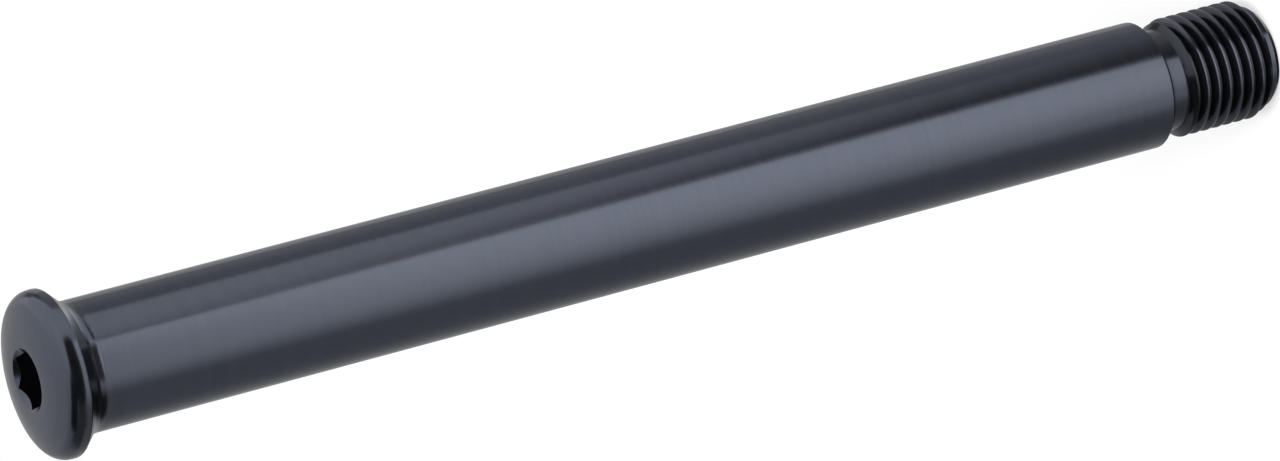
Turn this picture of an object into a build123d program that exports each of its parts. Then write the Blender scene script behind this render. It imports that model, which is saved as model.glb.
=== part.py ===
from build123d import *
import os
from math import cos, radians, sin, sqrt, tan

# A bolt-on thru axle for a bicycle's front fork: one aluminium bar, turned, threaded and broached.
# Lengths are in millimetres. The origin is the centre of the tip's end face, on the axis. +Z runs up
# the axis to the head, so the axle stands on its tip, with the head up.

# Shaft
SHAFT_D = 15.0
REACH = 155.6  # from the tip to the flange's back edge
SHAFT_END_CHAMFER = 0.4

# Head
FLANGE_D = 19.2
FLANGE_LAND = 0.55  # the straight band round the flange
FLANGE_BACK_ROUND = 0.2
EDGE_RADIUS = 2.0  # rolls the band over into the crown
CROWN_SLOPE = 20.0  # degrees from level, where the crown meets the rolled edge
SEAT_SLOPE = 45.0  # degrees of the cone under the flange, which centres the head in the fork
SEAT_FILLET = 2.0

# Hex socket for a 6 mm key
HEX_ACROSS_FLATS = 6.1
SOCKET_DEPTH = 8.0
COUNTERSINK_D = 7.3
COUNTERSINK_SLOPE = 45.0

# Thread, M14 x 1.5, right-handed
THREAD_D = 14.0
PITCH = 1.5
THREAD_LENGTH = 11.65  # with both lead-in slopes
THREAD_PHASE = 1.19  # height of the groove's middle over the origin, at angle 0
LEAD_IN_SLOPE = 45.0
ROOT_CLEARANCE = 0.04  # how far the relief and the pilot lie under the thread's root

# Relief between the thread and the shaft, and the pilot at the tip
RELIEF_WIDTH = 2.4
RELIEF_ROUND = 0.5
PILOT_LENGTH = 0.55
TIP_CHAMFER_LENGTH = 0.65
TIP_CHAMFER_DEPTH = 0.5

# Bore that lightens the shaft, drilled from the tip
BORE_D = 9.0
BORE_DEPTH = 140.0
BORE_CHAMFER = 0.3
DRILL_POINT = 118.0  # degrees, of every drilled hole's end

# Radii
SHAFT_R = SHAFT_D / 2
FLANGE_R = FLANGE_D / 2
THREAD_R = THREAD_D / 2
COUNTERSINK_R = COUNTERSINK_D / 2
BORE_R = BORE_D / 2
ROOT_R = THREAD_R - 17 / 24 * PITCH * sqrt(3) / 2
RELIEF_R = ROOT_R - ROOT_CLEARANCE
TIP_R = RELIEF_R - TIP_CHAMFER_DEPTH

# Heights, from the tip up
LEAD_IN = (THREAD_R - RELIEF_R) / tan(radians(LEAD_IN_SLOPE))
THREAD_BOTTOM = TIP_CHAMFER_LENGTH + PILOT_LENGTH
THREAD_TOP = THREAD_BOTTOM + THREAD_LENGTH
SHAFT_BOTTOM = THREAD_TOP + RELIEF_WIDTH
SEAT_BOTTOM = REACH - (FLANGE_R - SHAFT_R) / tan(radians(SEAT_SLOPE))
LAND_TOP = REACH + FLANGE_LAND
EDGE_TOP = LAND_TOP + EDGE_RADIUS * cos(radians(CROWN_SLOPE))
CROWN_FOOT_R = FLANGE_R - EDGE_RADIUS * (1 - sin(radians(CROWN_SLOPE)))
CROWN_RADIUS = (CROWN_FOOT_R - COUNTERSINK_R) / sin(radians(CROWN_SLOPE))
HEAD_TOP = EDGE_TOP + CROWN_RADIUS * (1 - cos(radians(CROWN_SLOPE)))


def rounded(face, point, radius):
    """The face with its corner nearest to a point rounded."""
    corner = min(face.vertices(), key=lambda vertex: (vertex.center() - Vector(*point)).length)
    return fillet(corner, radius)


def outline():
    """Half of the outside's section: radius along X, height along Y."""
    lower = Polyline(
        (0, 0),
        (TIP_R, 0),
        (RELIEF_R, TIP_CHAMFER_LENGTH),
        (RELIEF_R, THREAD_BOTTOM),
        (THREAD_R, THREAD_BOTTOM + LEAD_IN),
        (THREAD_R, THREAD_TOP - LEAD_IN),
        (RELIEF_R, THREAD_TOP),
        (RELIEF_R, SHAFT_BOTTOM),
        (SHAFT_R - SHAFT_END_CHAMFER, SHAFT_BOTTOM),
        (SHAFT_R, SHAFT_BOTTOM + SHAFT_END_CHAMFER),
        (SHAFT_R, SEAT_BOTTOM),
        (FLANGE_R, REACH),
        (FLANGE_R, LAND_TOP),
    )
    edge = CenterArc((FLANGE_R - EDGE_RADIUS, LAND_TOP), EDGE_RADIUS, 0, 90 - CROWN_SLOPE)
    crown_centre = (COUNTERSINK_R, HEAD_TOP - CROWN_RADIUS)
    crown = CenterArc(crown_centre, CROWN_RADIUS, 90 - CROWN_SLOPE, CROWN_SLOPE)
    inner = Polyline(crown @ 1, (0, HEAD_TOP), (0, 0))
    face = make_face(lower + edge + crown + inner)
    face = rounded(face, (RELIEF_R, SHAFT_BOTTOM), RELIEF_ROUND)
    face = rounded(face, (SHAFT_R, SEAT_BOTTOM), SEAT_FILLET)
    return rounded(face, (FLANGE_R, REACH), FLANGE_BACK_ROUND)


def thread_groove():
    """One helical groove, 60 degrees wide, which runs out over the relief and over the pilot."""
    overshoot = PITCH / 16
    outer_r = THREAD_R + overshoot
    flank = tan(radians(30))
    outer_half = PITCH * 7 / 16 + overshoot * flank
    root_half = outer_half - (outer_r - ROOT_R) * flank
    lowest = THREAD_BOTTOM - PITCH / 2
    start = lowest - (lowest - THREAD_PHASE) % PITCH
    section = Polyline(
        (ROOT_R, start - root_half),
        (outer_r, start - outer_half),
        (outer_r, start + outer_half),
        (ROOT_R, start + root_half),
        close=True,
    )
    path = Helix(PITCH, THREAD_TOP + PITCH / 4 - start, ROOT_R, center=(0, 0, start))
    return sweep(Plane.XZ * make_face(section), path, is_frenet=True)


def drilled_hole(radius, depth):
    """A hole from height 0 up, with the cone that a drill leaves at its end."""
    low = (Align.CENTER, Align.CENTER, Align.MIN)
    point = radius / tan(radians(DRILL_POINT / 2))
    return Cylinder(radius, depth, align=low) + Pos(0, 0, depth) * Cone(radius, 0, point, align=low)


def socket():
    """The broached hexagon with its drilled floor and the countersink round its mouth."""
    half_flats = HEX_ACROSS_FLATS / 2
    hexagon = RegularPolygon(half_flats, 6, major_radius=False)
    floor = Rot(180, 0, 0) * drilled_hole(half_flats, SOCKET_DEPTH)
    countersink_depth = COUNTERSINK_R * tan(radians(COUNTERSINK_SLOPE))
    top = (Align.CENTER, Align.CENTER, Align.MAX)
    countersink = Cone(0, COUNTERSINK_R, countersink_depth, align=top)
    return Pos(0, 0, HEAD_TOP) * (extrude(hexagon, -SOCKET_DEPTH) + floor + countersink)


def bore():
    """The blind bore up the shaft, with its broken edge at the tip."""
    low = (Align.CENTER, Align.CENTER, Align.MIN)
    mouth = Cone(BORE_R + BORE_CHAMFER, BORE_R, BORE_CHAMFER, align=low)
    return drilled_hole(BORE_R, BORE_DEPTH) + mouth


def cut_thread(blank):
    """The blank with its thread, cut in a plain bar first and then trimmed to the blank's own ends."""
    top = THREAD_TOP + RELIEF_WIDTH / 2
    bottom = -2 * PITCH
    low = (Align.CENTER, Align.CENTER, Align.MIN)
    bar = Pos(0, 0, bottom) * Cylinder(THREAD_R, top - bottom, align=low)
    upper = blank - Pos(0, 0, bottom) * Cylinder(FLANGE_R, top - bottom, align=low)
    return ((bar - thread_groove()) & blank) + upper


def axle():
    """The whole axle, as one solid."""
    blank = revolve(Plane.XZ * outline(), Axis.Z)
    return cut_thread(blank) - bore() - socket()


os.makedirs("parts", exist_ok=True)
export_step(axle(), "parts/axle.step")
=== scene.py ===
import bpy
from math import cos, radians, sin
from mathutils import Matrix, Vector

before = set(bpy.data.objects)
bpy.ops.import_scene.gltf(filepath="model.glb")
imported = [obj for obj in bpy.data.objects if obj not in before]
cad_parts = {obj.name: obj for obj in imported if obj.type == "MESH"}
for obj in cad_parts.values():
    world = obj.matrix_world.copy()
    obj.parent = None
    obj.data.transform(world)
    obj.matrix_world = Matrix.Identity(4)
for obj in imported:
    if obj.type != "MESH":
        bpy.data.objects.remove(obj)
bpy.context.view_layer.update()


# Camera

AIM = (0.0, 0.0, 0.15583)      # a point of the axis, at the flange's edge
AIM_PIXEL = (52.0, 373.9)      # where the photograph shows it
IMAGE = (1280, 461)
FOCAL_PIXELS = 9200.0
AIM_DEPTH = 1.0073             # metres from the camera to AIM, along the line of sight
AZIMUTH = 21.0
ELEVATION = 25.417
ROLL = -104.885                # the axle stands, and the photograph shows it lying


def direction(azimuth, elevation):
    """The direction from the axle to something at that azimuth and elevation, in degrees."""
    a, e = radians(azimuth), radians(elevation)
    return Vector((sin(a) * cos(e), -cos(a) * cos(e), sin(e)))


def make_camera():
    data = bpy.data.cameras.new("camera")
    data.sensor_fit = "HORIZONTAL"
    data.sensor_width = 36.0
    data.lens = data.sensor_width * FOCAL_PIXELS / IMAGE[0]
    camera = bpy.data.objects.new("camera", data)
    bpy.context.scene.collection.objects.link(camera)
    turn = (-direction(AZIMUTH, ELEVATION)).to_track_quat("-Z", "Y").to_matrix()
    turn = turn @ Matrix.Rotation(radians(ROLL), 3, "Z")
    right = (AIM_PIXEL[0] - IMAGE[0] / 2) / FOCAL_PIXELS * AIM_DEPTH
    up = (IMAGE[1] / 2 - AIM_PIXEL[1]) / FOCAL_PIXELS * AIM_DEPTH
    place = Vector(AIM) - turn @ Vector((right, up, -AIM_DEPTH))
    camera.matrix_world = Matrix.Translation(place) @ turn.to_4x4()
    bpy.context.scene.camera = camera


make_camera()


# Nodes

def arithmetic(tree, operation, *values):
    """The output of a math node. Each value is a number or another node's output."""
    made = tree.nodes.new("ShaderNodeMath")
    made.operation = operation
    for socket, value in zip(made.inputs, values):
        if isinstance(value, (int, float)):
            socket.default_value = value
        else:
            tree.links.new(value, socket)
    return made.outputs[0]


def times(tree, first, second):
    return arithmetic(tree, "MULTIPLY", first, second)


def ramp(tree, value, start, end):
    """0 before start and 1 after end, and smooth between them."""
    made = tree.nodes.new("ShaderNodeMapRange")
    made.interpolation_type = "SMOOTHSTEP"
    made.inputs["From Min"].default_value = start
    made.inputs["From Max"].default_value = end
    tree.links.new(value, made.inputs["Value"])
    return made.outputs[0]


def between(tree, value, low, high):
    """Takes 0 to 1 over to low to high."""
    return arithmetic(tree, "MULTIPLY_ADD", value, high - low, low)


def place_on_object(tree):
    """The place on the object, in its own coordinates."""
    return tree.nodes.new("ShaderNodeTexCoord").outputs["Object"]


def parts_of(tree, vector):
    """A vector's x, y and z."""
    made = tree.nodes.new("ShaderNodeSeparateXYZ")
    tree.links.new(vector, made.inputs[0])
    return made.outputs


def along(tree, vector, measure):
    """How far a vector reaches along a fixed one."""
    made = tree.nodes.new("ShaderNodeVectorMath")
    made.operation = "DOT_PRODUCT"
    made.inputs[1].default_value = measure
    tree.links.new(vector, made.inputs[0])
    return made.outputs["Value"]


def noise(tree, place, size, detail):
    """Noise from 0 to 1, whose grains are about that many metres wide."""
    made = tree.nodes.new("ShaderNodeTexNoise")
    made.inputs["Scale"].default_value = 1 / size
    made.inputs["Detail"].default_value = detail
    tree.links.new(place, made.inputs["Vector"])
    return made.outputs[0]


def colour_mix(tree, amount, first, second):
    """Blends two colours. Either can be another node's output."""
    made = tree.nodes.new("ShaderNodeMix")
    made.data_type = "RGBA"
    tree.links.new(amount, made.inputs["Factor"])
    for socket, colour in zip((made.inputs[6], made.inputs[7]), (first, second)):
        if isinstance(colour, tuple):
            socket.default_value = colour
        else:
            tree.links.new(colour, socket)
    return made.outputs[2]


def shader_mix(tree, amount, first, second):
    """Blends two shaders."""
    made = tree.nodes.new("ShaderNodeMixShader")
    for socket, value in zip(made.inputs, (amount, first, second)):
        tree.links.new(value, socket)
    return made.outputs[0]


def camera_ray(tree):
    """1 for the rays that leave the camera, and 0 for all others."""
    return tree.nodes.new("ShaderNodeLightPath").outputs["Is Camera Ray"]


# Material

RING_WIDTH = 0.00045
GRAIN_WIDTH = 0.00014
CLOUD_WIDTH = 0.011
EDGE_WIDTH = 0.00012           # of the rubbed stripe along an edge
RECESS_REACH = 0.003           # how far off the walls of a recess can be, for the painted shade
SLOPE_START = (0.01175, 0.01195)    # heights of the slope between the thread and the relief, where shade is painted
SLOPE_END = (0.0129, 0.0128)
DYE_DARK = (0.097, 0.1075, 0.136, 1)
DYE_LIGHT = (0.133, 0.1465, 0.186, 1)
RUBBED = (0.30, 0.30, 0.32, 1)
# painted shade: the colour that grooves, corners and the slope below the thread are darkened
# towards
PAINTED_SHADE = (0.038, 0.04, 0.048, 1)


def edge_mask(tree):
    """1 along the edges and 0 elsewhere."""
    soft = tree.nodes.new("ShaderNodeBevel")
    soft.samples = 6
    soft.inputs["Radius"].default_value = EDGE_WIDTH
    sharp = tree.nodes.new("ShaderNodeNewGeometry")
    dot = tree.nodes.new("ShaderNodeVectorMath")
    dot.operation = "DOT_PRODUCT"
    tree.links.new(soft.outputs[0], dot.inputs[0])
    tree.links.new(sharp.outputs["Normal"], dot.inputs[1])
    return ramp(tree, dot.outputs["Value"], 0.985, 0.88)


def open_mask(tree):
    """1 where the surface lies open and 0 deep in a groove or a corner. It sets where shade is
    painted into the colour.
    """
    made = tree.nodes.new("ShaderNodeAmbientOcclusion")
    made.samples = 8
    made.only_local = True
    made.inputs["Distance"].default_value = RECESS_REACH
    return ramp(tree, made.outputs["AO"], 0.6, 0.97)


def anodised():
    """Black anodised aluminium: satin, with lathe rings, a fine grain, painted shade in the
    recesses and on the slope below the thread, and edges rubbed a little paler."""
    material = bpy.data.materials.new("black_anodised")
    material.use_nodes = True
    tree = material.node_tree
    shader = tree.nodes["Principled BSDF"]
    place = place_on_object(tree)
    x, y, z = parts_of(tree, place)
    radius = arithmetic(tree, "SQRT", arithmetic(tree, "MULTIPLY_ADD", x, x, times(tree, y, y)))
    turned = tree.nodes.new("ShaderNodeCombineXYZ")
    tree.links.new(radius, turned.inputs[0])
    tree.links.new(times(tree, y, 0.01), turned.inputs[1])
    tree.links.new(z, turned.inputs[2])

    rings = noise(tree, turned.outputs[0], RING_WIDTH, 3.0)
    grain = noise(tree, place, GRAIN_WIDTH, 1.0)
    cloud = noise(tree, place, CLOUD_WIDTH, 3.0)

    tint = arithmetic(tree, "MULTIPLY_ADD", rings, 0.75, times(tree, cloud, 0.25))
    dye = colour_mix(tree, tint, DYE_DARK, DYE_LIGHT)
    rubbed = times(tree, edge_mask(tree), between(tree, cloud, 0.1, 0.6))
    surface = colour_mix(tree, rubbed, dye, RUBBED)
    # painted shade: the slope between the thread and the relief is darkened nearly as much as a
    # recess, and recesses found by ambient occlusion take the painted shade colour and are made a
    # little less metallic
    slope = times(tree, ramp(tree, z, *SLOPE_START), ramp(tree, z, *SLOPE_END))
    lit = times(tree, open_mask(tree), between(tree, slope, 1, 0.3))
    tree.links.new(colour_mix(tree, lit, PAINTED_SHADE, surface), shader.inputs["Base Color"])
    tree.links.new(between(tree, lit, 0.95, 0.99), shader.inputs["Metallic"])
    rough = arithmetic(tree, "ADD", between(tree, rings, 0.15, 0.21),
                       between(tree, cloud, -0.03, 0.03))
    tree.links.new(rough, shader.inputs["Roughness"])

    bump = tree.nodes.new("ShaderNodeBump")
    bump.inputs["Strength"].default_value = 0.25
    bump.inputs["Distance"].default_value = 0.00001
    height = arithmetic(tree, "MULTIPLY_ADD", rings, 0.6, grain)
    tree.links.new(height, bump.inputs["Height"])
    tree.links.new(bump.outputs[0], shader.inputs["Normal"])
    return material


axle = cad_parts["axle"]
axle.data.materials.clear()
axle.data.materials.append(anodised())


# Floor

def plane(name, x_range, y_range):
    """A flat sheet that isn't part of the object."""
    mesh = bpy.data.meshes.new(name)
    corners = [(x_range[i], y_range[j], 0) for i, j in ((0, 0), (1, 0), (1, 1), (0, 1))]
    mesh.from_pydata(corners, [], [(0, 1, 2, 3)])
    made = bpy.data.objects.new(name, mesh)
    bpy.context.scene.collection.objects.link(made)
    return made


def make_floor():
    """White paper. The camera sees it glow, so that the axle's shadow stays faint and the far edge
    vanishes."""
    floor = plane("floor", (-6, 6), (-6, 6))
    material = bpy.data.materials.new("floor")
    material.use_nodes = True
    tree = material.node_tree
    shader = tree.nodes["Principled BSDF"]
    shader.inputs["Base Color"].default_value = (0.95, 0.95, 0.95, 1)
    shader.inputs["Roughness"].default_value = 1.0
    shader.inputs["Specular IOR Level"].default_value = 0.0
    away = tree.nodes.new("ShaderNodeVectorMath")
    away.operation = "LENGTH"
    tree.links.new(place_on_object(tree), away.inputs[0])
    share = between(tree, ramp(tree, away.outputs["Value"], 0.05, 0.35), 0.6, 1.0)
    seen = times(tree, camera_ray(tree), share)
    glow = tree.nodes.new("ShaderNodeEmission")
    mix = shader_mix(tree, seen, shader.outputs[0], glow.outputs[0])
    tree.links.new(mix, tree.nodes["Material Output"].inputs["Surface"])
    floor.data.materials.append(material)
    floor.visible_glossy = False
    floor.visible_shadow = False


make_floor()


# Lights

MIDDLE = Vector((0, 0, 0.08))  # of the axle


def facing(azimuth, elevation, distance, roll=0.0):
    """A place at that distance from the middle of the axle, turned towards it."""
    out = direction(azimuth, elevation)
    turn = out.to_track_quat("Z", "Y").to_matrix().to_4x4() @ Matrix.Rotation(radians(roll), 4, "Z")
    return Matrix.Translation(MIDDLE + out * distance) @ turn


def card(name, azimuth, elevation, distance, x_range, y_range, strength, soft, roll=0.0, slope=0.0):
    """A studio card, seen in the metal's reflections. x runs anticlockwise seen from above and y
    up, both in distances, and soft gives how far its left, right, lower and upper edges fade, in
    distances too. Its upper edge can slope down to the right."""
    x_range, y_range = ([v * distance for v in r] for r in (x_range, y_range))
    made = plane(name, x_range, (y_range[0], y_range[1] - slope * x_range[0]))
    made.matrix_world = facing(azimuth, elevation, distance, roll)
    material = bpy.data.materials.new(name)
    material.use_nodes = True
    tree = material.node_tree
    tree.nodes.clear()
    x, y, _ = parts_of(tree, place_on_object(tree))
    sloped = arithmetic(tree, "MULTIPLY_ADD", x, slope, y)
    edges = [(x, x_range[0], 1), (x, x_range[1], -1), (y, y_range[0], 1), (sloped, y_range[1], -1)]
    shown = None
    for (measure, edge, inward), fade in zip(edges, soft):
        part = ramp(tree, measure, edge, edge + inward * fade * distance)
        shown = times(tree, shown, part) if shown else part
    glow = tree.nodes.new("ShaderNodeEmission")
    glow.inputs["Strength"].default_value = strength
    clear = tree.nodes.new("ShaderNodeBsdfTransparent")
    output = tree.nodes.new("ShaderNodeOutputMaterial")
    mix = shader_mix(tree, shown, clear.outputs[0], glow.outputs[0])
    tree.links.new(mix, output.inputs["Surface"])
    made.data.materials.append(material)
    made.visible_camera = False
    made.visible_diffuse = False
    made.visible_shadow = False


# the bright cards
card("front", AZIMUTH, -27, 1.4, (-1.5, 0.685), (-1.6, 0.26), 1.43, (1.8, 0.1, 0.04, 0.21))
card("side", AZIMUTH + 77, 0, 0.6, (-0.80, 0.29), (-0.77, 1.6), 0.84, (0.1, 0.1, 0.42, 0.3), -7)
card("back", AZIMUTH + 135, 0, 0.62, (-0.9, 0.55), (0.24, 1.6), 0.87, (0.05, 0.2, 0.06, 0.3), 14)
# the dim and the dark ones, between them and over them
card("under", AZIMUTH, -27, 1.35, (-0.7, 0.62), (-1.6, -0.16), 0.08, (0.25, 0.2, 0.2, 0.05))
card("gap", AZIMUTH + 60, 0, 0.85, (-0.32, 0.58), (-0.9, -0.1), 0.05, (0.05, 0.2, 0.1, 0.05))
card("far", AZIMUTH + 130, 0, 0.9, (-0.35, 0.35), (-0.12, 0.25), 0.2, (0.15, 0.15, 0.08, 0.08))
card("shade", AZIMUTH - 85, 0, 0.92, (-1.0, 0.9), (-0.1, 0.9), 0.11, (0.6, 0.05, 0.1, 0.2))
card("cap", AZIMUTH - 62, 55, 0.8, (-0.72, 0.62), (-0.34, 0.32), 0.02, (0.2, 0.2, 0.12, 0.1))
card("dark", AZIMUTH, 0, 0.55, (-1.5, 1.65), (-0.12, 1.4), 0.03, (0.6, 0.15, 0.03, 0.3), slope=0.5)


def overhead_lamp():
    """Lights the floor alone, from the camera's side, so that the shadow falls behind the axle."""
    data = bpy.data.lights.new("overhead", "AREA")
    data.shape = "DISK"
    data.size = 0.9
    data.energy = 28
    lamp = bpy.data.objects.new("overhead", data)
    bpy.context.scene.collection.objects.link(lamp)
    lamp.matrix_world = facing(AZIMUTH, 60, 1.6)
    lamp.visible_camera = False
    lamp.visible_glossy = False


overhead_lamp()


def make_world():
    """White to the camera, and to all other rays the room that the metal reflects."""
    front, aside, upward = direction(AZIMUTH, 0), direction(AZIMUTH + 90, 0), Vector((0, 0, 1))
    world = bpy.data.worlds.new("world")
    bpy.context.scene.world = world
    world.use_nodes = True
    tree = world.node_tree
    tree.nodes.clear()
    look = tree.nodes.new("ShaderNodeTexCoord").outputs["Generated"]
    height = along(tree, look, upward)

    # brighter at the back below the axle, and above it brighter all round, most on one side
    low = arithmetic(tree, "ADD", along(tree, look, 0.05 * aside - 0.20 * front), 0.29)
    low = arithmetic(tree, "MAXIMUM", low, 0.31)
    more = arithmetic(tree, "ADD", along(tree, look, 0.35 * aside + 0.14 * front), 0.31)
    total = arithmetic(tree, "MULTIPLY_ADD", ramp(tree, height, -0.1, 0.9), more, low)
    # brighter again deep below that side, and dark straight below
    deep = times(tree, ramp(tree, height, -0.56, -0.72),
                 ramp(tree, along(tree, look, aside), -0.1, 0.12))
    total = arithmetic(tree, "MULTIPLY_ADD", deep, 0.5, total)
    dark = ramp(tree, along(tree, look, 0.35 * aside + upward), -0.75, -0.88)
    total = times(tree, total, between(tree, dark, 1, 0.08))

    white = tree.nodes.new("ShaderNodeBackground")
    room = tree.nodes.new("ShaderNodeBackground")
    for background in (white, room):
        background.inputs["Color"].default_value = (1, 1, 1, 1)
    tree.links.new(total, room.inputs["Strength"])
    mix = shader_mix(tree, camera_ray(tree), room.outputs[0], white.outputs[0])
    output = tree.nodes.new("ShaderNodeOutputWorld")
    tree.links.new(mix, output.inputs["Surface"])


make_world()
bpy.context.scene.view_settings.view_transform = "Standard"
